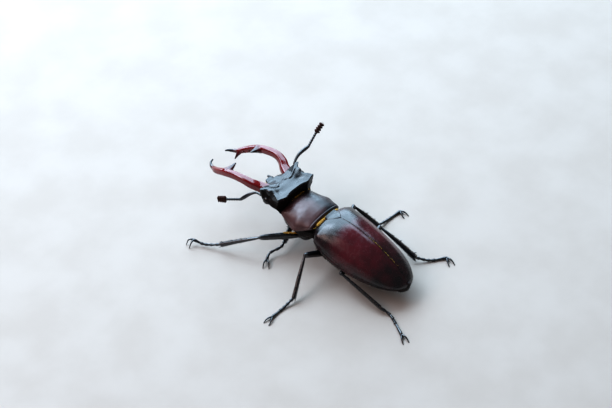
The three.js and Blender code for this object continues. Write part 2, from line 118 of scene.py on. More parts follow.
def curve_of(table):
    """Smooth, non-overshooting value along a table of (station, value) rows."""
    xs = np.array([row[0] for row in table], float)
    ys = np.array([row[1] for row in table], float)
    steps = np.diff(ys) / np.diff(xs)
    slopes = np.zeros_like(ys)
    slopes[0], slopes[-1] = steps[0], steps[-1]
    for k in range(1, len(xs) - 1):
        a, b = steps[k - 1], steps[k]
        slopes[k] = 0 if a * b <= 0 else 2 * a * b / (a + b)

    def value(s):
        s = np.clip(s, xs[0], xs[-1])
        i = np.clip(np.searchsorted(xs, s, side="right") - 1, 0, len(xs) - 2)
        h = xs[i + 1] - xs[i]
        return cubic((s - xs[i]) / h, ys[i], ys[i + 1], slopes[i] * h, slopes[i + 1] * h)
    return value


def columns_of(table):
    """A curve for each column of a table after its first, the station."""
    return [curve_of([(row[0], row[k]) for row in table]) for k in range(1, len(table[0]))]


def spline(points, ways, closed=False, tension=0.5):
    """Points and directions of a smooth path at each way (0 to 1) along its control points."""
    points = np.asarray(points, float)
    if closed:
        padded = np.vstack([points[-1], points, points[0], points[1]])
    else:
        padded = np.vstack([2 * points[0] - points[1], points, 2 * points[-1] - points[-2]])
    spans = len(padded) - 3
    where = np.clip(np.asarray(ways, float), 0, 1) * spans
    i = np.minimum(where.astype(int), spans - 1)
    t = (where - i)[:, None]
    a, b, c, d = (padded[i + k] for k in range(4))
    leave, arrive = tension * (c - a), tension * (d - b)
    heading = (b - c) * 6 * t * (t - 1) + leave * (1 - t) * (1 - 3 * t) + arrive * t * (3 * t - 2)
    return cubic(t, b, c, leave, arrive), unit(heading)


def hump(x, middle, width):
    """Bell of height 1 at middle that has fallen to about a third at width from it."""
    return np.exp(-((np.asarray(x, float) - middle) / width) ** 2)


def step(x, low, high):
    """Smooth rise from 0 at low to 1 at high."""
    t = np.clip((np.asarray(x, float) - low) / (high - low), 0, 1)
    return t * t * (3 - 2 * t)


def dense_ends(low, high, count, pull=0.75):
    """Stations from low to high, closer together near both ends."""
    t = np.linspace(0, 1, count)
    eased = 0.5 - 0.5 * np.cos(np.pi * t)
    return low + (high - low) * (pull * eased + (1 - pull) * t)


# ---------- skins: grids of points, shape (rows, columns, 3) ----------
def grid_normals(grid, closed=True):
    """Outward unit normals; closed says that the last column meets the first."""
    along = np.gradient(grid, axis=0)
    if closed:
        across = np.roll(grid, -1, axis=1) - np.roll(grid, 1, axis=1)
    else:
        across = np.gradient(grid, axis=1)
    normals = unit(np.cross(across, along))
    outward = grid - grid.mean(axis=1, keepdims=True)
    flip = np.sign((normals * outward).sum())
    return normals * (flip if flip else 1)


def raised(grid, height, closed=True):
    """The grid pushed out along its normals by height, one number or one for each of its points."""
    return grid + grid_normals(grid, closed) * np.asarray(height)[..., None]


def ring_turns(count):
    return (np.arange(count) + 0.5) / count * 2 * np.pi


def arch_ring(y, half, top, level, bottom, count, arch=ARCH, bowl=2.6):
    """Ring at station y: an arch from the sides at level up to top, and a bowl down to bottom. arch and
    bowl are the exponents of the two halves, 2 for an ellipse."""
    turn = ring_turns(count)
    c, s = np.cos(turn), np.sin(turn)
    power = np.where(s > 0, arch, bowl)
    reach = np.where(s > 0, top - level, level - bottom)
    x = half * np.sign(c) * np.abs(c) ** (2 / power)
    z = level + reach * np.sign(s) * np.abs(s) ** (2 / power)
    return np.stack([x, np.full(count, float(y)), z], axis=1)


def tube_faces(rows, count, closed=True):
    """The four-sided faces between the neighbouring points of a grid."""
    pairs = [(j, (j + 1) % count) for j in range(count if closed else count - 1)]
    return [(start + a, start + b, start + count + b, start + count + a)
            for start in range(0, (rows - 1) * count, count) for a, b in pairs]


def solid(grid):
    """Closed skin over a grid of rings: points and faces, each end closed by a fan."""
    rows, count = grid.shape[:2]
    points = np.vstack([grid.reshape(-1, 3), grid[0].mean(0), grid[-1].mean(0)])
    faces = tube_faces(rows, count)
    first, last = rows * count, rows * count + 1
    end = (rows - 1) * count
    faces += [(first, (j + 1) % count, j) for j in range(count)]
    faces += [(last, end + j, end + (j + 1) % count) for j in range(count)]
    return points, faces


def plate(outer, inner):
    """Closed shell between two open grids of the same size."""
    rows, count = outer.shape[:2]
    points = np.vstack([outer.reshape(-1, 3), inner.reshape(-1, 3)])
    top = tube_faces(rows, count, closed=False)
    below = rows * count
    faces = top + [tuple(below + k for k in reversed(face)) for face in top]
    rim = (list(range(count)) + [i * count + count - 1 for i in range(1, rows)]
           + [(rows - 1) * count + j for j in range(count - 2, -1, -1)]
           + [i * count for i in range(rows - 2, 0, -1)])
    faces += [(a, b, below + b, below + a) for a, b in zip(rim[1:] + rim[:1], rim)]
    return points, faces


def sweep(path, radius, rows, sides, flat=1.0, side=(0, 0, 1), square=2.0, blunt=0.8):
    """Ring grid along a smooth path. radius(t) is the half width along side, flat the thickness as a share
    of it, square the corner exponent of the section, blunt how far the rounded ends stand out."""
    caps = np.array([0.25, 0.6, 0.85, 0.97])      # sizes of an end's rings, as shares of the section
    ways = np.linspace(0, 1, rows)
    middle, heading = spline(path, ways)
    wide = np.array([float(radius(t)) for t in ways])
    thin = wide * (np.array([float(flat(t)) for t in ways]) if callable(flat) else flat)
    lift = blunt * np.sqrt(1 - caps ** 2)
    middle = np.vstack([middle[0] - heading[0] * thin[0] * lift[:, None], middle,
                        middle[-1] + heading[-1] * thin[-1] * lift[::-1, None]])
    ends = [np.repeat(heading[k:k + 1], len(caps), 0) for k in (0, rows - 1)]
    heading = np.vstack([ends[0], heading, ends[1]])
    wide = np.concatenate([wide[0] * caps, wide, wide[-1] * caps[::-1]])
    thin = np.concatenate([thin[0] * caps, thin, thin[-1] * caps[::-1]])
    side = np.asarray(side, float)
    a = unit(side - heading * (heading @ side)[:, None])
    b = np.cross(heading, a)
    turn = np.arange(sides) / sides * 2 * np.pi
    c, s = np.cos(turn), np.sin(turn)
    u = np.sign(c) * np.abs(c) ** (2 / square)
    v = np.sign(s) * np.abs(s) ** (2 / square)
    return (middle[:, None] + a[:, None] * (wide[:, None] * u)[..., None]
            + b[:, None] * (thin[:, None] * v)[..., None])


def ball(radii, rows, sides):
    """Ring grid of an ellipsoid about the origin, its poles along x."""
    turn = (np.arange(rows) + 0.5) / rows * np.pi
    around = np.arange(sides) / sides * 2 * np.pi
    x = -np.cos(turn)[:, None] * np.ones(sides)
    y = np.sin(turn)[:, None] * np.cos(around)
    z = np.sin(turn)[:, None] * np.sin(around)
    return np.stack([x, y, z], axis=-1) * radii


def pile(solids):
    """Several (points, faces) as one."""
    all_points, all_faces, start = [], [], 0
    for points, faces in solids:
        all_points.append(points)
        all_faces += [tuple(start + k for k in face) for face in faces]
        start += len(points)
    return np.vstack(all_points), all_faces


def mesh_of(name, points, faces):
    """Mesh whose faces all point outwards."""
    mesh = bpy.data.meshes.new(name)
    mesh.from_pydata(points.tolist(), [], faces)
    work = bmesh.new()
    work.from_mesh(mesh)
    bmesh.ops.recalc_face_normals(work, faces=work.faces)
    work.to_mesh(mesh)
    work.free()
    return mesh


def nearest(points, sources, values):
    """Value of the closest source for each point."""
    tree = KDTree(len(sources))
    for k, source in enumerate(sources):
        tree.insert(source, k)
    tree.balance()
    return np.array([values[tree.find(point)[1]] for point in points])


def fused(solids, tones, voxel, rounds):
    """One skin round several overlapping solids, each with its own tones: points, faces, tones. voxel is
    the size of its faces, rounds how often it is smoothed."""
    points, faces = pile(solids)
    mesh = mesh_of("fuse", points, faces)
    thing = add_object("fuse", mesh)
    remesh = thing.modifiers.new("remesh", "REMESH")
    remesh.mode = "VOXEL"
    remesh.voxel_size = voxel
    smooth = thing.modifiers.new("smooth", "SMOOTH")
    smooth.iterations = rounds
    smooth.factor = 0.5
    made = thing.evaluated_get(bpy.context.evaluated_depsgraph_get()).to_mesh()
    skin = np.empty(len(made.vertices) * 3)
    made.vertices.foreach_get("co", skin)
    skin = skin.reshape(-1, 3)
    skin_faces = [tuple(face.vertices) for face in made.polygons]
    bpy.data.objects.remove(thing)
    bpy.data.meshes.remove(mesh)
    return skin, skin_faces, nearest(skin, points, np.concatenate(tones))


# ---------- materials ----------
def node_material(name):
    """A new material, its node tree, its shader and the object coordinates."""
    material = bpy.data.materials.new(name)
    material.use_nodes = True
    tree = material.node_tree
    where = add_node(tree, "ShaderNodeTexCoord").outputs["Object"]
    return material, tree, tree.nodes["Principled BSDF"], where


def add_node(tree, kind, **values):
    """Node whose values are its own settings or, by name, those of its inputs."""
    node = tree.nodes.new(kind)
    for key, value in values.items():
        if hasattr(node, key):
            setattr(node, key, value)
        else:
            node.inputs[key].default_value = value
    return node


def ramp(tree, source, low, high, dark=0.0, light=1.0):
    """The source's stretch from low to high, smoothly mapped to dark to light."""
    node = add_node(tree, "ShaderNodeMapRange", interpolation_type="SMOOTHSTEP")
    tree.links.new(source, node.inputs["Value"])
    for key, value in (("From Min", low), ("From Max", high), ("To Min", dark), ("To Max", light)):
        node.inputs[key].default_value = value
    return node.outputs["Result"]


def blend_colour(tree, factor, first, second):
    node = add_node(tree, "ShaderNodeMix", data_type="RGBA")
    factor_socket, first_socket, second_socket = (node.inputs[k] for k in (0, 6, 7))
    tree.links.new(factor, factor_socket)
    first_socket.default_value = (*first, 1)
    second_socket.default_value = (*second, 1)
    return node.outputs[2]


def noise(tree, where, scale, detail, roughness=0.5):
    node = add_node(tree, "ShaderNodeTexNoise", Scale=scale, Detail=detail, Roughness=roughness)
    tree.links.new(where, node.inputs["Vector"])
    return node.outputs["Fac"]


def bump(tree, height, strength, depth, under=None):
    """Normal output of a bump, depth in millimetres, on top of the normal under it if there is one."""
    node = add_node(tree, "ShaderNodeBump", Strength=strength, Distance=depth * UNIT)
    tree.links.new(height, node.inputs["Height"])
    if under is not None:
        tree.links.new(under, node.inputs["Normal"])
    return node.outputs["Normal"]


def cuticle(name, light, dark, rough, pit, pit_depth, grain, specular, coat):
    """Hard shell: two colours mixed by the mesh's tone, which is its own colour and in places painted shade,
    and a cloudy noise, a roughness that drifts in the range rough, fine grain, and pits at a spacing of pit
    millimetres."""
    material, tree, shader, where = node_material(name)
    tone = add_node(tree, "ShaderNodeAttribute", attribute_name="tone").outputs["Fac"]
    clouds = noise(tree, where, scale=260, detail=4, roughness=0.6)
    amount = add_node(tree, "ShaderNodeMath", operation="ADD", use_clamp=True)
    tree.links.new(tone, amount.inputs[0])
    tree.links.new(ramp(tree, clouds, 0.35, 0.68, -0.16, 0.16), amount.inputs[1])
    tree.links.new(blend_colour(tree, amount.outputs[0], light, dark), shader.inputs["Base Color"])

    broad = noise(tree, where, scale=900, detail=2)
    tree.links.new(ramp(tree, broad, 0.3, 0.7, *rough), shader.inputs["Roughness"])
    fine = noise(tree, where, scale=5200, detail=3, roughness=0.55)
    grained = bump(tree, fine, grain, 0.02)
    cells = add_node(tree, "ShaderNodeTexVoronoi", feature="F1", Scale=1 / (pit * UNIT), Randomness=0.9)
    tree.links.new(where, cells.inputs["Vector"])
    pitted = bump(tree, ramp(tree, cells.outputs["Distance"], 0.05, 0.42), 0.7, pit_depth, grained)
    tree.links.new(pitted, shader.inputs["Normal"])
    shader.inputs["Specular IOR Level"].default_value = specular
    shader.inputs["Coat Weight"].default_value = coat
    shader.inputs["Coat Roughness"].default_value = 0.12
    return material


def hair_material(name, light, dark):
    """Fine hair: two colours, roughness and a slight bump, all mixed by one streaky noise."""
    material, tree, shader, where = node_material(name)
    strands = noise(tree, where, scale=2600, detail=2)
    colour = blend_colour(tree, ramp(tree, strands, 0.35, 0.65), light, dark)
    tree.links.new(colour, shader.inputs["Base Color"])
    tree.links.new(ramp(tree, strands, 0.3, 0.7, 0.45, 0.65), shader.inputs["Roughness"])
    tree.links.new(bump(tree, strands, 0.3, 0.01), shader.inputs["Normal"])
    shader.inputs["Sheen Weight"].default_value = 0.3
    return material


CUTICLES = {    # light and dark colour, roughness range, pit spacing and depth, grain, specular, coat
    "shell_black": ((0.012, 0.013, 0.016), (0.003, 0.003, 0.004), (0.24, 0.34), 0.35, 0.012, 0.4, 0.8, 0),
    "pronotum_black": ((0.11, 0.044, 0.042), (0.007, 0.010, 0.014), (0.28, 0.4), 0.22, 0.012, 0.9, 0.7, 0),
    "elytra_chestnut": ((0.105, 0.008, 0.015), (0.008, 0.004, 0.005), (0.2, 0.3), 0.3, 0.004, 0.2, 0.8, 0),
    "jaw_red": ((0.19, 0.0006, 0.004), (0.006, 0.002, 0.003), (0.09, 0.16), 0.5, 0.003, 0.1, 0.9, 0),
    "eye_black": ((0.012, 0.008, 0.007), (0.004, 0.003, 0.003), (0.12, 0.2), 0.09, 0.01, 0.1, 0.5, 0.3),
    "leg_black": ((0.012, 0.012, 0.015), (0.003, 0.003, 0.003), (0.12, 0.24), 0.35, 0.008, 0.2, 1, 0),
    "club_brown": ((0.060, 0.022, 0.016), (0.018, 0.007, 0.005), (0.6, 0.8), 0.12, 0.03, 0.8, 0.3, 0),
    "belly_black": ((0.012, 0.008, 0.007), (0.004, 0.003, 0.003), (0.36, 0.5), 0.4, 0.012, 0.4, 0.22, 0),
}
MATERIALS = {name: cuticle(name, *values) for name, values in CUTICLES.items()}
GOLD_HAIR = hair_material("gold_hair", (1.0, 0.62, 0.07), (0.5, 0.22, 0.015))
BROWN_HAIR = hair_material("brown_hair", (0.16, 0.07, 0.03), (0.06, 0.025, 0.012))


# ---------- pieces ----------
def piece(name, shape, slot, replaces=(), tone=None, material=None, dull=None):
    """Object from (points, faces) in layout millimetres, riding on the body and standing for CAD nodes.
    tone blends each point from its material's light colour (0) to the dark one (1). dull marks the points
    whose faces take the duller material of the underside."""
    points, faces = shape
    points = np.maximum(points, (-np.inf, -np.inf, 0))      # nothing goes into the floor
    mesh = mesh_of(name, to_frame(points), faces)
    mesh.polygons.foreach_set("use_smooth", [True] * len(mesh.polygons))
    values = np.zeros(len(points)) if tone is None else np.asarray(tone, float)
    mesh.attributes.new("tone", "FLOAT", "POINT").data.foreach_set("value", values.astype(np.float32))
    mesh.materials.append(material or MATERIALS[slot])
    if dull is not None:
        mesh.materials.append(MATERIALS["belly_black"])
        share = [sum(dull[k] for k in face.vertices) / len(face.vertices) for face in mesh.polygons]
        mesh.polygons.foreach_set("material_index", [int(part > 0.5) for part in share])
    thing = add_object(name, mesh)
    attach(thing, BODY)
    if replaces:
        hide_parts(*replaces)
    return thing


def ended(tone_grid):
    """Tone values for solid(): the grid's own, then one for each end."""
    return np.concatenate([tone_grid.ravel(), [tone_grid[0].mean(), tone_grid[-1].mean()]])


# ---------- wing cases ----------
ELYTRA_LENGTH = 29.2
SUTURE = 0.05          # half the slit between the wing cases
WING_CASE = 0.4        # thickness of a wing case
elytra_half = curve_of([(0, 6.9), (1.6, 8.65), (5, 9.05), (10, 9), (14, 8.65), (18, 8.05), (22, 7.2),
                        (25, 6), (27.4, 4.3), (28.6, 2.8), (ELYTRA_LENGTH, 0.9)])
elytra_top = curve_of([(0, -0.6), (0.6, 0.1), (4, 1.3), (8, 1.65), (12, 1.25), (16, 0.7), (20, -0.5),
                       (24, -2.15), (27, -4.1), (28.6, -5.5), (ELYTRA_LENGTH, -6.2)])
elytra_edge = curve_of([(0, -3.2), (4, -5.1), (10, -6.7), (16, -7.2), (22, -6.95), (ELYTRA_LENGTH, -6.8)])


def elytron_grid(sign):
    """Plain outer skin of one wing case, its stations, and each column's place across it: 0 at the suture,
    1 at the side edge and more where the edge tucks under."""
    stations = dense_ends(0, ELYTRA_LENGTH, 110)
    across = np.linspace(0, 1, 64)
    turn = (1 - across) * np.pi / 2
    rows = []
    for y in stations:
        half, top, level = elytra_half(y), elytra_top(y), elytra_edge(y)
        x = np.maximum(half * np.cos(turn) ** (2 / ARCH), SUTURE + 0.1 * step(y, 28.6, ELYTRA_LENGTH))
        z = level + (top - level) * np.sin(turn) ** (2 / ARCH)
        rows.append(np.stack([sign * x, np.full_like(x, y), z], axis=1))
    grid = np.array(rows)
    tuck = np.array([(-0.05 * sign, 0, -0.22), (-0.3 * sign, 0, -0.42)])
    grid = np.concatenate([grid, grid[:, -1:] + tuck], axis=1)
    return grid, stations, np.concatenate([across, [1.02, 1.04]])


def elytron(sign, side):
    grid, stations, across = elytron_grid(sign)
    y = stations[:, None]
    q = across[None, :]
    side_rim = (-0.16 * hump(q, 0.945, 0.022) + 0.07 * hump(q, 0.99, 0.02)) * step(y, 0.5, 3)
    suture_rim = 0.03 * hump(q, 0, 0.02) - 0.02 * hump(q, 0.045, 0.018)
    shoulder = 0.12 * hump(y, 2, 1.2) * hump(q, 0.68, 0.1)
    front_groove = -0.05 * hump(y, 0.9, 0.35) * step(q, 0.05, 0.3)
    ribs = 0.035 * np.sin(q * 22) * step(y, 3, 7) * step(26 - y, 0, 5) * (1 - step(q, 0.75, 0.9))
    outer = raised(grid, side_rim + suture_rim + shoulder + front_groove + ribs, closed=False)
    inner = raised(outer, -WING_CASE, closed=False)
    inner[:, 0, 0] = sign * np.maximum(np.abs(inner[:, 0, 0]), SUTURE)

    # Tone: darker towards the rear, along the suture and at the base. The lower flank's darkening and the
    # right wing case's darker whole tone are painted shade.
    rear = 0.75 * step(y, 13, 27)
    painted_flank_shade = 0.55 * step(q, 0.62, 0.98)
    suture = 0.5 * hump(q, 0, 0.03)
    base = 0.95 * (1 - step(y, 4, 9)) * (1 - 0.5 * step(q, 0.6, 0.9))
    overall_tone_and_right_shade = 0.12 if sign > 0 else 0.37
    tone = np.clip(overall_tone_and_right_shade + rear + painted_flank_shade + suture + base, 0, 1).ravel()
    shape = plate(place(outer, **HIND_FRAME), place(inner, **HIND_FRAME))
    piece(f"elytron_{side}_shell", shape, "elytra_chestnut", [f"elytron_{side}"],
          tone=np.concatenate([tone, tone]))
    return outer


elytra_skins = {"left": elytron(1, "left"), "right": elytron(-1, "right")}


def scutellum():
    half = curve_of([(-0.3, 2.25), (0.3, 2.3), (1.2, 2.1), (2.2, 1.55), (3, 0.85), (3.55, 0.08)])
    rings = []
    for y in dense_ends(-0.3, 3.55, 26):
        top = float(elytra_top(max(0.6, y))) + 0.2
        rings.append(arch_ring(y, float(half(y)), top, top - 0.42, top - 0.95, count=40, arch=2.2, bowl=5))
    piece("scutellum_shield", solid(place(rings, **HIND_FRAME)), "shell_black", ["scutellum"])


scutellum()

# ---------- pronotum ----------
PRONOTUM_ROWS = [       # station, half width, top, level of the side edge
    (-10.8, 6.1, -2.2, -3.6), (-10.2, 6.5, -1.4, -3.7), (-8.5, 6.9, -0.5, -4.2), (-6.3, 7.5, 0, -4.6),
    (-4.3, 8.1, 0.25, -4.4), (-2.2, 7.3, 0.2, -3.4), (0, 6.3, -0.35, -2.1), (0.4, 5.9, -0.9, -2),
]
PRONOTUM_SIDES = 168


def pronotum_skin():
    half, top, level = columns_of(PRONOTUM_ROWS)
    stations = dense_ends(-10.8, 0.4, 120, 0.85)
    grid = np.array([arch_ring(y, half(y), top(y), level(y), level(y) - 0.7, PRONOTUM_SIDES, bowl=5)
                     for y in stations])
    lift = np.maximum(np.sin(ring_turns(PRONOTUM_SIDES)), 0)[None, :]     # 0 up to the side edge, 1 on top
    above = step(lift, 0.04, 0.3)
    x, y = grid[..., 0], stations[:, None]
    rear_rim = above * (-0.07 * hump(y, -0.45, 0.1) + 0.03 * hump(y, -0.22, 0.12))
    front_rim = above * (-0.06 * hump(y, -10.1, 0.14) + 0.03 * hump(y, -10.4, 0.14))
    side_rims = (-0.08 * hump(lift, 0.17, 0.04) + 0.06 * hump(lift, 0.05, 0.05)) * step(y, -10.4, -9.6)
    middle_groove = -0.035 * hump(x, 0, 0.45) * hump(y, -4.5, 3) * above
    dimples = -0.05 * (hump(x, -4.7, 0.8) + hump(x, 4.7, 0.8)) * hump(y, -4.6, 0.8) * above
    return raised(grid, rear_rim + front_rim + side_rims + middle_groove + dimples), stations


def pronotum(grid, stations):
    # Painted shade: the plate's right side is made darker than its left, and a darker band runs along the
    # rear rim.
    painted_shade_right = 0.75 * step(-grid[..., 0], -3, 4)
    painted_shade_rear = 0.4 * hump(stations[:, None], 0.1, 0.7)
    placed = place(grid, **PRONOTUM_FRAME)
    piece("pronotum_plate", solid(placed), "pronotum_black", ["pronotum"],
          tone=np.clip(ended(0.1 + painted_shade_right + painted_shade_rear), 0, 1))
    return placed


pronotum_grid, pronotum_stations = pronotum_skin()
pronotum_placed = pronotum(pronotum_grid, pronotum_stations)

# ---------- underside ----------
TRUNK_SIDES = 96
SHELL_AND_GAP = 1.04   # wing case thickness and the space under it
SEAM_DEPTH = 0.16
belly_bottom = curve_of([(-2.8, -8), (0, -9.6), (3, -11.1), (7, -11.5), (12, -11.3), (18, -10.5), (24, -9.6),
                         (28, -8.9), (30.4, -8.5)])


def core_half(y):
    """Half width of the trunk where it fills the wing cases."""
    return max(1.1, float(elytra_half(min(y, 27.6))) - SHELL_AND_GAP)


def core_top(y):
    return float(elytra_top(y)) - SHELL_AND_GAP


def trunk_skin(stations, beyond, seams):
    """Rings of the trunk at stations, grooved across the underside at each seam. The rows of beyond
    (station, half width, top) hold where the trunk comes out of the wing cases."""
    halves, tops = columns_of(beyond)
    rings = []
    for y in stations:
        if beyond[0][0] <= y <= beyond[-1][0]:
            half, top = float(halves(y)), float(tops(y))
        else:
            half, top = core_half(y), core_top(y)
        level = min(float(elytra_edge(max(y, 0))) - 0.2, top - 0.4)
        rings.append(arch_ring(y, half, top, level, belly_bottom(y), TRUNK_SIDES))
    below = step(-np.sin(ring_turns(TRUNK_SIDES)), -0.1, 0.25)[None, :]
    y = stations[:, None]
    relief = sum(0.4 * hump(y, seam - 0.5, 0.35) - hump(y, seam, 0.16) for seam in seams)
    return raised(np.array(rings), relief * SEAM_DEPTH * below)


WAIST_ROWS = [(-2.8, 4.4, -3.6), (-1.4, 5, -2.7), (0.1, 6.2, -2)]      # station, half width, top
TAIL_ROWS = [(28, core_half(28), core_top(28)), (28.5, 2.8, -6.7), (29, 1.9, -7.1), (29.4, 0.6, -7.8)]
thorax_skin = trunk_skin(dense_ends(-2.8, 9.9, 70), WAIST_ROWS, seams=(1.2, 5.8))
piece("thorax_trunk", solid(place(thorax_skin, **HIND_FRAME)), "belly_black", ["thorax"])
abdomen_skin = trunk_skin(dense_ends(10, 29.35, 110, 0.5), TAIL_ROWS, seams=(13.2, 16.4, 19.6, 22.8, 25.6))
piece("abdomen_trunk", solid(place(abdomen_skin, **HIND_FRAME)), "belly_black", ["abdomen"])

PROSTERNUM_ROWS = [     # station, half width, bottom
    (-10.4, 5.4, -8.8), (-9.4, 6, -9.2), (-7, 6.8, -9.6), (-4.3, 7, -9.8), (-2, 6.2, -9.6), (0.2, 5, -9),
]


def front_underside():
    half, bottom = columns_of(PROSTERNUM_ROWS)
    stations = dense_ends(-10.4, 0.2, 60)
    grid = np.array([arch_ring(y, half(y), -3.6, -4.7, bottom(y), TRUNK_SIDES, bowl=2.2) for y in stations])
    seam = -0.15 * hump(stations[:, None], -5.2, 0.3) * step(-grid[..., 2], 6, 8)
    return raised(grid, seam)


prosternum_skin = front_underside()
piece("prosternum_plate", solid(place(prosternum_skin, **PRONOTUM_FRAME)), "belly_black", ["prosternum"])

# ---------- head ----------
HEAD_ROWS = [      # station, then key points (x, z) from the middle of the top to the middle of the bottom
    (-8.5, [(0, -3.6), (1.3, -3.6), (2.2, -3.8), (2.5, -4.3), (2.4, -4.9), (1.7, -5.6), (0, -6)]),
    (-7.3, [(0, -3.1), (2.4, -2.8), (4.4, -3), (5.4, -3.6), (5.4, -4.6), (4.2, -6), (0, -6.8)]),
    (-6.9, [(0, -2.9), (3.4, -2.1), (7.2, -0.7), (7.5, -1.5), (7, -3), (5.4, -5.9), (0, -7)]),
    (-6.3, [(0, -2.6), (3.8, -1.6), (7.8, -0.25), (7.9, -1), (7.4, -2.8), (5.7, -5.7), (0, -7)]),
    (-5.2, [(0, -2), (3.4, -1.3), (6.4, -0.3), (7.2, -1.4), (7.9, -2.9), (6, -5.6), (0, -7)]),
    (-3.6, [(0, -1.2), (3.7, -0.9), (6.2, -0.2), (7.1, -1.6), (8, -3.1), (6, -5.7), (0, -7.3)]),
    (-1.7, [(0, -0.7), (4, -0.6), (6.7, 0), (7.4, -1.8), (8, -3.4), (5.7, -6.1), (0, -7.7)]),
    (0, [(0, -0.1), (4.4, -0.1), (7.4, 0.1), (7.4, -2.1), (7.6, -3.5), (5.2, -6.5), (0, -8.1)]),
    (0.35, [(0, -2.4), (4.2, -2.6), (6, -3), (6.9, -3.8), (7, -4.6), (5, -6.7), (0, -8.2)]),
    (0.8, [(0, -3.3), (3.4, -3.6), (5.2, -4.1), (6.2, -4.8), (6.6, -5.4), (4.8, -7.1), (0, -8.4)]),
    (2, [(0, -4.1), (3, -4.2), (5, -4.8), (6, -5.3), (6, -6), (4.2, -7.5), (0, -8.5)]),
    (4.4, [(0, -4.6), (2.2, -4.7), (3.8, -5.3), (4.5, -6), (4.3, -6.7), (2.9, -7.8), (0, -8.4)]),
]
HEAD_KEYS = 7
HEAD_SIDES = 168       # points of a ring, 14 for each stretch between key points
crest_y = curve_of([(0, -4.9), (1.2, -5.3), (2.5, -4.4), (4.4, -5), (6.4, -6.1), (8, -6.8)])


def head_skin():
    keys = [[curve_of([(y, row[k][axis]) for y, row in HEAD_ROWS]) for axis in (0, 1)]
            for k in range(HEAD_KEYS)]
    rings = []
    for y in np.linspace(-8.5, 4.4, 170):
        half = [(float(key_x(y)), float(y), float(key_z(y))) for key_x, key_z in keys]
        mirrored = [(-x, *rest) for x, *rest in half[1:-1][::-1]]
        ring, _ = spline(half + mirrored, np.arange(HEAD_SIDES) / HEAD_SIDES, closed=True, tension=0.35)
        rings.append(ring)
    grid = np.array(rings)
    side, y, z = np.abs(grid[..., 0]), grid[..., 1], grid[..., 2]
    above = step(z, -4.6, -3.2)
    crest = crest_y(side)
    front_crest = (0.15 * hump(y, crest, 0.34) - 0.08 * hump(y, crest - 0.7, 0.4)) * step(7.6 - side, 0, 0.8)
    crest_dents = -0.16 * hump(y, crest + 0.55, 0.26) * hump(side, 1.9, 1.1)
    rear_crest = 0.12 * hump(y, 0, 0.35) - 0.12 * hump(y, 0.6, 0.3)
    side_bumps = (0.2 * hump(y, -4.1, 0.7) - 0.35 * hump(y, -2.7, 0.9)) * hump(side, 6.5, 0.7)
    hollows = -0.3 * hump(side, 3.2, 1.5) * hump(y, -2.4, 1.1)
    eye_ridges = 0.22 * hump(z, -3.4, 0.5) * hump(y, -4.6, 1.2) * step(side, 6, 7)
    cheek_grooves = -0.3 * hump(z, -4.6, 0.5) * hump(y, -2.2, 2.2) * step(side, 5, 6.5)
    relief = above * (front_crest + crest_dents + rear_crest + side_bumps + hollows)
    skin = raised(grid, relief + eye_ridges + cheek_grooves)
    skin[..., 1] += 0.65 * hump(side, 4.7, 1.7) * hump(y, 0.3, 1.1) * above      # the rear crest's two lobes
    return skin


def head():
    grid = head_skin()
    side, y, z = np.abs(grid[..., 0]), grid[..., 1], grid[..., 2]
    # Painted shade: the side walls, the underside and the slope behind the rear crest are darkened in tone.
    tone = 0.15 + 0.8 * np.maximum(step(-z, 2.4, 4), step(y, 0.5, 1.2))
    cheeks = (z < -1.5 + 0.9 * step(y, -2, 0) + 0.9 * step(-y, 3, 6)) & (side > 4.2)
    neck = y > 0.75
    throat = z < -4.6
    piece("head_capsule", solid(place(grid, **HEAD_FRAME)), "shell_black", ["head"], tone=ended(tone),
          dull=ended(cheeks | neck | throat))
    for sign, name in ((1, "left"), (-1, "right")):
        eye = ball((1.15, 1.45, 1.25), 40, 56) + (sign * 7.2, -3.9, -3.3)
        piece(f"eye_{name}_lens", solid(place(eye, **HEAD_FRAME)), "eye_black", [f"eye_{name}"])


def mouthparts():
    lip = sweep([(0, -8, -4.7), (0, -9.1, -4.9), (0, -9.9, -5)], lambda t: 1.95 - 0.8 * t, 14, 40, 0.32,
                side=(1, 0, 0), square=2.8)
    chin = sweep([(0, -7.6, -6.4), (0, -8.6, -6.5), (0, -9.4, -6.5)], lambda t: 2.9 - 1.1 * t, 14, 40, 0.2,
                 side=(1, 0, 0), square=3)
    shapes = [lip, chin]
    for sign in (-1, 1):
        outer_feeler = [(sign * 1.8, -8.7, -6.5), (sign * 2.3, -9.6, -6.6), (sign * 2.5, -10.5, -6.8),
                        (sign * 2.3, -11.7, -7.2)]
        for joint in zip(outer_feeler, outer_feeler[1:]):
            shapes.append(sweep(joint, lambda t: 0.28 + 0.12 * t, 6, 14))
        inner_feeler = [(sign * 0.9, -9.1, -6.9), (sign * 1.1, -10, -7.1), (sign * 1.0, -10.8, -7.3)]
        shapes.append(sweep(inner_feeler, lambda t: 0.22 + 0.05 * t, 6, 12))
    piece("mouth", pile([solid(place(s, **HEAD_FRAME)) for s in shapes]), "shell_black", ["mouthparts"])


head()
mouthparts()

# ---------- mandibles ----------
JAW_CURVE = [(4.7, -6.2, -3.6), (5.7, -8.6, -3.2), (7, -10.7, -2.5), (7.6, -13.4, -2.1), (7.6, -17, -2.7),
             (7.4, -20.6, -4), (6.6, -23.8, -5.9), (5.5, -25.9, -7.1)]
JAW_TIP = [(5.5, -25.9, -7.1), (4.9, -27.3, -7.4), (3.9, -28.4, -7.3), (2.8, -28.6, -6.9)]
JAW_PRONG = [(5.6, -25.4, -7.2), (4.8, -25.6, -8.1), (3.8, -25.5, -8.8)]
JAW_TOOTH = [(7.2, -19.6, -3.5), (5.4, -19.6, -3), (3.4, -19.7, -2.5)]
SMALL_TEETH = [(0.79, 0.36), (0.87, 0.38)]      # way along the jaw, radius
JAW_SIDES = 48
jaw_height = curve_of([(0, 1.25), (0.25, 1.18), (0.45, 1.1), (0.66, 1.04), (0.87, 0.9), (1, 0.72)])
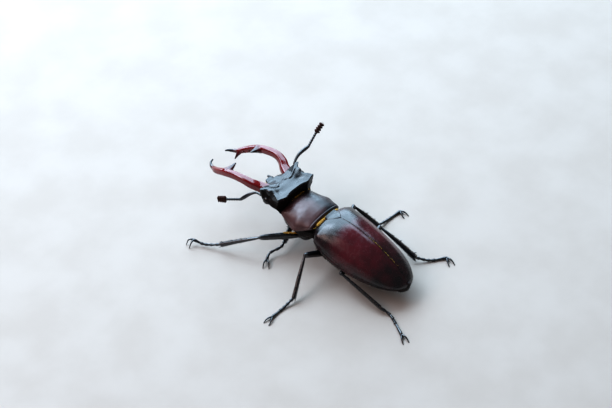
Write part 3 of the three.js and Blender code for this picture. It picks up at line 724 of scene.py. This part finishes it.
jaw_width_share = curve_of([(0, 1.35), (0.2, 1.14), (0.45, 0.94), (1, 0.85)])


def along_tone(grid, low, high):
    """Tones that rise evenly from the grid's first ring to its last."""
    return np.linspace(low, high, len(grid))[:, None] * np.ones(grid.shape[1])


def mandible(sign, side):
    shaft = sweep(JAW_CURVE, jaw_height, 90, JAW_SIDES, jaw_width_share, square=3.6)
    tip = sweep(JAW_TIP, curve_of([(0, 0.72), (0.4, 0.5), (1, 0.24)]), 30, 28, 0.85, square=2.4)
    prong = sweep(JAW_PRONG, curve_of([(0, 0.8), (0.5, 0.5), (1, 0.22)]), 20, 24, 0.85, square=2.2)
    tooth = sweep(JAW_TOOTH, curve_of([(0, 1.7), (0.3, 1.15), (0.6, 0.72), (1, 0.26)]), 26, 28, 0.7,
                  side=(0, 1, 0), square=2.2)
    turn = np.arange(JAW_SIDES) / JAW_SIDES * 2 * np.pi
    along = np.linspace(0, 1, len(shaft))[:, None]
    # Painted shade: the jaw's lower edge is darkened. The tone is also darker near the head, and the tips,
    # prong, teeth and nubs are their own darker colour.
    painted_shade_below = 0.95 * step(-np.cos(turn), 0.5, 0.85)[None, :]
    shapes = [shaft, tip, prong, tooth]
    tones = [np.maximum(painted_shade_below, 0.35 * hump(along, 0, 0.08)) + 0.5 * step(along, 0.93, 1),
             along_tone(tip, 0.35, 1.6), along_tone(prong, 0.2, 1.5), along_tone(tooth, 0.1, 1.6)]
    for way, radius in SMALL_TEETH:
        foot = spline(JAW_CURVE, [way])[0][0]
        nub = sweep([foot + (-0.4, 0, -0.2), foot + (-0.9, -0.05, -0.3), foot + (-1.2, -0.1, -0.35)],
                    lambda t, radius=radius: radius * (1 - 0.6 * t), 8, 14)
        shapes.append(nub)
        tones.append(along_tone(nub, 0.4, 1))
    points, faces, tone = fused([solid(shape) for shape in shapes], [ended(tone) for tone in tones],
                                voxel=0.11, rounds=5)
    turned = place((points - JAW_BASE) * (sign, 1, 1), JAW_BASE, **JAW_TURN)
    piece(f"mandible_{side}_jaw", (place(turned, **HEAD_FRAME), faces), "jaw_red", [f"mandible_{side}"],
          tone=np.clip(tone, 0, 1))


mandible(1, "left")
mandible(-1, "right")

# ---------- antennae ----------
ANTENNAE = {
    "left": {"stalk": [(6.3, -20.6, 14.2), (5.9, -22.9, 13.4), (6.8, -24.6, 12.4), (8.4, -26.6, 10.3)],
             "club": (10.4, -30.6, 9.3), "tip": (11.2, -32.8, 8.6)},
    "right": {"stalk": [(-7.4, -19.6, 14.8), (-8.6, -20.7, 15.9), (-11.3, -21.1, 17.4),
                        (-14.7, -20.4, 18.5)],
              "club": (-18.9, -21, 20.7), "tip": (-21.6, -21.1, 22)},
}
BEADS = 6
LEAVES = (0.1, 0.37, 0.64, 0.92)      # ways along the club


def antenna(side, stalk, club, tip):
    """A long scape along stalk, beads from its end to club, and leaves that hang from a stem to tip."""
    scape = sweep(stalk, curve_of([(0, 0.36), (0.08, 0.28), (0.5, 0.4), (0.85, 0.56), (1, 0.44)]), 40, 20)
    piece(f"scape_{side}_rod", solid(scape), "leg_black", [f"scape_{side}"])
    elbow, club, tip = (np.array(p, float) for p in (stalk[-1], club, tip))
    beads = []
    for k in range(BEADS):
        ends = [elbow + (club - elbow) * way for way in (k / BEADS + 0.01, (k + 1) / BEADS - 0.015)]
        beads.append(solid(sweep(ends, curve_of([(0, 0.3), (0.7, 0.41), (1, 0.36)]), 8, 18, blunt=0.6)))
    piece(f"antenna_{side}_beads", pile(beads), "leg_black", [f"antenna_{side}"])
    run = tip - club
    drop = unit(np.array([0, 0, -1.0]) + run * run[2] / (run @ run))
    leaves = [solid(sweep([club, tip], lambda t: 0.42 - 0.12 * t, 10, 18))]
    for way in LEAVES:
        heart = club + run * way
        path = [heart - drop * (0.8 - 0.1 * way), heart, heart + drop * (0.9 - 0.25 * way) + run * 0.1]
        leaves.append(solid(sweep(path, curve_of([(0, 0.56), (0.5, 0.7), (1, 0.56)]), 14, 20, 0.6,
                                  side=np.cross(drop, run))))
    piece(f"club_{side}_leaves", pile(leaves), "club_brown", [f"club_{side}"])


for antenna_side, antenna_places in ANTENNAE.items():
    antenna(antenna_side, **antenna_places)

# ---------- legs ----------
LEG_SIZES = {"front": (1.05, 0.72, 6), "middle": (1, 0.7, 5), "hind": (1, 0.7, 4)}      # thigh, shin, spines
LEGS = {     # hip, knee, ankle, points of the foot, reach of the claws
    "front_left": ((3.2, -6, 4.9), (14, -14.1, 7.2), (19.9, -24.1, 2.3),
                   [(22.1, -28.6, 1.1), (23.4, -32, 1.8)], (1.9, -0.6, -0.7)),
    "middle_left": ((4, 3.2, 4.3), (12.8, 1.3, 9.4), (21.6, 4.7, 1.7),
                    [(25.7, 4.2, 0.45), (30.2, 4, 0.42)], (2.9, 0.3, -0.25)),
    "hind_left": ((4, 10.4, 3.4), (9.2, 11.5, 6), (9.1, 25.3, 1.8),
                  [(8.6, 28.6, 0.5), (10.2, 31.9, 0.42), (12.2, 35.4, 0.42)], (1.5, 2.8, -0.25)),
    "front_right": ((-3.2, -6, 4.7), (-6.3, -15.3, 5.4), (7.1, -10.9, 3),
                    [(9.6, -10.3, 2.4), (13, -11.6, 1.7), (15.2, -11, 1)], (2.2, 1.6, -0.6)),
    "middle_right": ((-4, 3.2, 4), (-12.1, -1.2, 8.2), (-15.5, 5.1, 1.4),
                     [(-20.4, 5.4, 0.45), (-25.4, 6, 0.42)], (0.6, 2.9, -0.25)),
    "hind_right": ((-4, 10.2, 3.2), (-12.6, 8.2, 5.4), (-12.2, 21.3, 1.8),
                   [(-15.1, 24.7, 0.5), (-19.1, 27.8, 0.42)], (1.5, 3, -0.25)),
}
FOOT_JOINTS = [0, 0.17, 0.34, 0.5, 0.66, 1]      # ways along the foot
foot_size = curve_of([(0, 0.3), (0.5, 0.4), (0.9, 0.48), (1, 0.38)])


def leg(name, hip, knee, ankle, foot, claws, thigh, shin, spines):
    """One leg's four pieces; thigh and shin are half thicknesses. Returns the skins of femur and tibia and
    the path of the foot."""
    hip, knee, ankle, claws = (np.array(p, float) for p in (hip, knee, ankle, claws))
    turn = math.degrees(math.atan2(knee[1] - hip[1], knee[0] - hip[0]))
    coxa = place(ball((2.05, 1.3, 1.45), 24, 32), hip, yaw=turn)
    piece(f"coxa_{name}_ball", solid(coxa), "leg_black", [f"coxa_{name}"])

    bow = (hip + knee) / 2 + (0, 0, 0.25)
    thickness = curve_of([(0, 0.6 * thigh), (0.14, 0.72 * thigh), (0.2, 0.66 * thigh), (0.26, 0.8 * thigh),
                          (0.52, thigh), (0.82, 0.9 * thigh), (0.95, 0.8 * thigh), (1, 0.66 * thigh)])
    femur = sweep([hip, bow, knee], thickness, 56, 28, 0.8, square=2.3)
    piece(f"femur_{name}_thigh", solid(femur), "leg_black", [f"femur_{name}"])

    tibia = shin_parts(knee, ankle, shin, spines)
    piece(f"tibia_{name}_shin", pile([solid(part) for part in tibia]), "leg_black", [f"tibia_{name}"])
    return femur, tibia[0], foot_piece(name, ankle, foot, claws)


def shin_parts(knee, ankle, shin, spines):
    """The tibia's shaft, its spines, small and large in turn down the outer edge, and its two spurs."""
    run = ankle - knee
    along = unit(run)
    away = unit(ankle * (1, 1, 0))
    out = unit(away - along * (away @ along) + (0, 0, 0.6))
    arch = (knee + ankle) / 2 + out * 0.15
    thickness = curve_of([(0, 0.62 * shin), (0.06, 0.5 * shin), (0.2, 0.66 * shin), (0.7, 0.95 * shin),
                          (1, 1.15 * shin)])
    shaft = sweep([knee, arch, ankle], thickness, 60, 24, lambda t: 1 - 0.3 * t, side=out, square=2.6)
    parts = [shaft]
    last = spines - 1
    for k in range(spines):
        size = 0.45 + 0.5 * (k % 2) + (0.2 if k == last else 0)
        root = knee + run * (0.34 + 0.6 * k / last) + out * shin * 0.5
        path = [root, root + out * size * 0.5 + along * 0.12, root + out * size + along * 0.55 * size]
        parts.append(sweep(path, lambda t: 0.27 - 0.2 * t, 8, 12))
    for lean in (-1, 1):
        root = ankle - along * 0.3 - out * shin * 0.4 + np.cross(along, out) * lean * 0.3
        path = [root, root + along * 0.7 - out * 0.35, root + along * 1.3 - out * 0.45]
        parts.append(sweep(path, lambda t: 0.17 - 0.13 * t, 8, 10))
    return parts


def foot_piece(name, ankle, foot, claws):
    """The tarsus: its joints along the path from ankle through foot, two claws that curve down to the floor
    and two bristles between them."""
    path = [ankle] + [np.array(p, float) for p in foot]
    parts = []
    for a, b in zip(FOOT_JOINTS, FOOT_JOINTS[1:]):
        middle, _ = spline(path, np.linspace(a + 0.006, b - 0.008, 5))
        parts.append(sweep(middle, foot_size, 16, 18, blunt=0.5))
    end = path[-1]
    across = unit(np.cross(claws, (0, 0, 1)))

    def beyond(forward, outward, up=0):
        return end + claws * forward + across * outward + (0, 0, up)

    for side in (-1, 1):
        claw = [beyond(0, side * 0.12), beyond(0.3, side * 0.5, 0.3), beyond(0.62, side * 0.78, 0.2),
                beyond(0.95, side * 0.85) * (1, 1, 0) + (0, 0, 0.1)]
        parts.append(sweep(claw, lambda t: 0.32 - 0.2 * t, 20, 14))
        bristle = [beyond(0, 0, -0.1), beyond(0.3, side * 0.08, -0.05), beyond(0.55, side * 0.25, -0.1)]
        parts.append(sweep(bristle, lambda t: 0.07 - 0.04 * t, 8, 8))
    piece(f"tarsus_{name}_foot", pile([solid(part) for part in parts]), "leg_black", [f"tarsus_{name}"])
    return path


leg_skins = {name: leg(name, *places, *LEG_SIZES[name.split("_")[0]]) for name, places in LEGS.items()}

# ---------- hairs ----------
PATCH = 0.003          # size of a tuft's patch on the skin's unwrap
UNWRAP_MARGIN = 0.02


def scatter(grid, count, density=1):
    """Random places on a grid skin: points, outward normals, directions along the rows and unwrap places."""
    rows, columns = grid.shape[:2]
    turned = np.roll(grid, -1, axis=1)
    a, b, c, d = grid[:-1], turned[:-1], grid[1:], turned[1:]
    area = np.linalg.norm(np.cross(b - a, c - a), axis=-1)
    weight = (area * np.broadcast_to(density, grid.shape[:2])[:-1]).ravel()
    i, j = np.divmod(rng.choice(weight.size, count, p=weight / weight.sum()), columns)
    u, v = rng.random(count), rng.random(count)
    mix = [w[:, None] for w in ((1 - u) * (1 - v), (1 - u) * v, u * (1 - v), u * v)]
    points = sum(w * corner[i, j] for w, corner in zip(mix, (a, b, c, d)))
    along = unit((c - a)[i, j])
    return points, grid_normals(grid)[i, j], along, np.stack([(j + v) / columns, (i + u) / rows], 1)


def fringe(line, weights, count, normal, way):
    """Random places along a line of points, all with one normal and one way, as scatter() gives them."""
    spans = np.linalg.norm(np.diff(line, axis=0), axis=1) * weights[:-1]
    pick = rng.choice(len(spans), count, p=spans / spans.sum())
    share = rng.random(count)
    points = line[pick] * (1 - share[:, None]) + line[pick + 1] * share[:, None]
    normals = np.repeat(unit([normal]), count, 0)
    ways = np.repeat(unit([way]), count, 0)
    return points, normals, ways, np.stack([(pick + share) / len(line), rng.random(count)], 1)


def coat(name, parts, material, length, width, lift, spread):
    """Solid tufts: each a thin three-sided blade rooted in the skin, bent over and lying along its way.
    parts are (points, normals, ways, unwrap places), lift is how steeply tufts rise and spread how much
    their ways differ."""
    roots, normals, ways, places = (np.concatenate(group) for group in zip(*parts))
    count = len(roots)
    ways = unit(ways + rng.normal(0, spread, (count, 3)))
    ways = unit(ways - normals * (ways * normals).sum(1, keepdims=True))
    sides = np.cross(ways, normals)
    size = (length * rng.uniform(0.65, 1.15, count))[:, None]
    thick = (width * rng.uniform(0.8, 1.2, count))[:, None]
    rise = lift * rng.uniform(0.6, 1.4, (count, 1))
    root_and_bend = [roots - normals * 0.04, roots + size * (0.5 * ways + 0.75 * rise * normals)]
    tips = roots + size * unit(ways + rise * normals)
    rings = []
    for centre, share in zip(root_and_bend, (1, 0.8)):
        rings += [centre + thick * share * (math.cos(turn) * sides + math.sin(turn) * normals)
                  for turn in (0.5, 2.6, 4.7)]
    points = np.stack(rings + [tips], axis=1)      # of a tuft: three at the root, three at the bend, the tip
    tuft = [(0, 1, 4, 3), (1, 2, 5, 4), (2, 0, 3, 5), (3, 4, 6), (4, 5, 6), (5, 3, 6), (2, 1, 0)]
    faces = [tuple(points.shape[1] * k + corner for corner in face) for k in range(count) for face in tuft]
    thing = piece(name, (points.reshape(-1, 3), faces), "club_brown", material=material)
    patch = PATCH * (np.array([(0, 0), (0.5, 0), (1, 0), (0, 0.5), (0.5, 0.5), (1, 0.5), (0.5, 1)]) - 0.5)
    places = (UNWRAP_MARGIN + (1 - 2 * UNWRAP_MARGIN) * places)[:, None] + patch
    corners = np.empty(len(thing.data.loops), dtype=np.int32)
    thing.data.loops.foreach_get("vertex_index", corners)
    thing.data.uv_layers.new(name="OFBake").data.foreach_set("uv", places.reshape(-1, 2)[corners].ravel())


def pronotum_fringes():
    upper = PRONOTUM_SIDES // 2      # a ring starts at one side edge and passes over the top to the other
    rear, front = -3, int(np.searchsorted(pronotum_stations, -10.5))      # the rings at the two rims
    line, x = pronotum_placed[rear, :upper], pronotum_grid[rear, :upper, 0]
    weights = step(x, -4.4, -3.4) * step(4.6 - x, 0, 1) + 0.01
    rows = [fringe(line + (0, 0.05, -drop), weights, 330, (0, 0.2, 1), (0, 1, 0.1))
            for drop in (0, 0.2, 0.4, 0.6)]
    coat("fringe_pronotum_back", rows, GOLD_HAIR, length=1.3, width=0.05, lift=0.38, spread=0.22)
    line, x = pronotum_placed[front, :upper], pronotum_grid[front, :upper, 0]
    weights = 0.3 * step(x, -5.8, -4.6) * step(3 - x, 0, 3) + 2.6 * hump(x, -4.8, 1)
    rows = [fringe(line + (0, inset, 0), weights, 380, (0, 1, 0.2), (0, -0.25, 1)) for inset in (0, 0.15)]
    coat("fringe_pronotum_front", rows, GOLD_HAIR, length=0.75, width=0.05, lift=0.15, spread=0.2)


ELYTRA_FRINGES = {      # column of the wing case's skin, first and last station, hairs
    "left": [(0, 12, 24, 60)],
    "right": [(0, 12, 25, 70), (61, 5, 28, 240)],
}


def elytra_fringes():
    for side, fringes in ELYTRA_FRINGES.items():
        edges = []
        for column, low, high, count in fringes:
            line = elytra_skins[side][:, column]
            weights = step(line[:, 1], low, low + 4) * step(high - line[:, 1], 0, 2) + 0.001
            edges.append(fringe(place(line, **HIND_FRAME), weights, count, (0, 0, 1), (0, 1, -0.1)))
        coat(f"fringe_elytron_{side}", edges, GOLD_HAIR, length=0.42, width=0.016, lift=0.12, spread=0.1)


def underside_hairs():
    parts = []
    for skin, region, count in ((prosternum_skin, PRONOTUM_FRAME, 1200), (thorax_skin, HIND_FRAME, 1500),
                                (abdomen_skin, HIND_FRAME, 1300)):
        parts.append(scatter(place(skin, **region), count, step(-skin[..., 2], 5.6, 8) + 1e-6))
    coat("down_underside", parts, BROWN_HAIR, length=0.6, width=0.022, lift=0.3, spread=0.25)


def front_thigh_patch(femur, count):
    way = np.linspace(0, 1, len(femur))[:, None]
    facing = grid_normals(femur) @ unit([-0.55, -0.5, 0.75])
    density = step(way, 0.14, 0.2) * step(0.5 - way, 0, 0.06) * step(facing, 0.3, 0.6)
    return scatter(femur, count, density + 1e-9)


def shin_bristles(shin, count):
    way = np.linspace(0, 1, len(shin))[:, None]
    turn = np.arange(shin.shape[1]) / shin.shape[1] * 2 * np.pi
    density = step(np.abs(np.cos(turn)), 0.75, 0.95)[None, :] * step(way, 0.2, 0.5)
    return scatter(shin, count, density + 1e-9)


def foot_pads(path, count):
    middle, heading = spline(path, np.linspace(0.05, 0.95, count))
    below = np.repeat([[0.0, 0.0, -1.0]], count, 0)
    places = np.stack([np.linspace(0, 1, count), np.full(count, 0.5)], 1)
    return middle + (0, 0, -0.28), below, heading, places


def leg_hairs():
    patches, bristles, pads = [], [], []
    for name, (femur, shin, path) in leg_skins.items():
        if name.startswith("front"):
            patches.append(front_thigh_patch(femur, 620))
        bristles.append(shin_bristles(shin, 620 if name in ("middle_right", "hind_right") else 300))
        pads.append(foot_pads(path, 60))
    coat("patch_front_thighs", patches, GOLD_HAIR, length=0.75, width=0.05, lift=0.16, spread=0.12)
    coat("bristles_shins", bristles, BROWN_HAIR, length=0.42, width=0.026, lift=0.6, spread=0.3)
    coat("pads_feet", pads, GOLD_HAIR, length=0.32, width=0.04, lift=0.5, spread=0.3)


def head_hairs():
    brush = []
    for sign in (-1, 1):
        line = place([(sign * x, -8.9, -5.7) for x in (0.3, 0.9, 1.5, 1.9)], **HEAD_FRAME)
        brush.append(fringe(line, np.ones(4), 110, (0, -0.2, -1), (0.12 * sign, -1, -0.2)))
    coat("brush_mouth", brush, GOLD_HAIR, length=1.1, width=0.04, lift=0.25, spread=0.25)
    fuzz = []
    for places in ANTENNAE.values():
        club, tip = np.array(places["club"], float), np.array(places["tip"], float)
        stem = sweep([club, tip + (tip - club) * 0.05], curve_of([(0, 0.5), (0.5, 0.72), (1, 0.5)]), 14, 16)
        fuzz.append(scatter(stem, 260))
    coat("fuzz_clubs", fuzz, BROWN_HAIR, length=0.14, width=0.022, lift=0.5, spread=0.4)


pronotum_fringes()
elytra_fringes()
underside_hairs()
leg_hairs()
head_hairs()

# ---------- floor and light ----------
FLOOR_HALF = 3.0        # metres
LIGHTS = [      # name, direction from the beetle, distance m, width and height m, watts, colour
    ("sky", (-0.49, -0.64, 0.59), 0.6, (0.72, 0.78), 9.2, (0.60, 0.81, 1.0)),
    ("side_sky", (0.14, -0.58, 0.80), 0.6, (0.44, 0.28), 2.1, (0.68, 0.84, 1.0)),
    ("warm", (0.60, -0.42, 0.68), 0.7, (0.34, 0.26), 0.9, (1.0, 0.74, 0.70)),
]
ROOM_COLOUR = (0.84, 0.86, 0.90, 1)
ROOM_STRENGTH = 0.25
EXPOSURE = -0.35


def stage_floor():
    mesh = bpy.data.meshes.new("floor")
    corners = [(x * FLOOR_HALF, y * FLOOR_HALF, 0) for x, y in ((-1, -1), (1, -1), (1, 1), (-1, 1))]
    mesh.from_pydata(corners, [], [(0, 1, 2, 3)])
    material, tree, shader, where = node_material("floor_paper")
    fibre = ramp(tree, noise(tree, where, scale=60, detail=5), 0.3, 0.7)
    colour = blend_colour(tree, fibre, (0.53, 0.455, 0.40), (0.57, 0.495, 0.44))
    tree.links.new(colour, shader.inputs["Base Color"])
    shader.inputs["Roughness"].default_value = 0.8
    shader.inputs["Specular IOR Level"].default_value = 0.2
    mesh.materials.append(material)
    add_object("floor", mesh)


def add_light(name, direction, distance, size, watts, colour):
    data = bpy.data.lights.new(name, "AREA")
    data.shape = "RECTANGLE"
    data.size, data.size_y = size
    data.energy = watts
    data.color = colour
    lamp = add_object(name, data)
    lamp.location = Vector(direction).normalized() * distance
    lamp.rotation_euler = (-lamp.location).to_track_quat("-Z", "Y").to_euler()


def light_room():
    world = bpy.data.worlds.new("studio")
    world.use_nodes = True
    background = world.node_tree.nodes["Background"]
    background.inputs["Color"].default_value = ROOM_COLOUR
    background.inputs["Strength"].default_value = ROOM_STRENGTH
    scene = bpy.context.scene
    scene.world = world
    scene.view_settings.view_transform = "Standard"
    scene.view_settings.look = "High Contrast"
    scene.view_settings.exposure = EXPOSURE


stage_floor()
for light in LIGHTS:
    add_light(*light)
light_room()
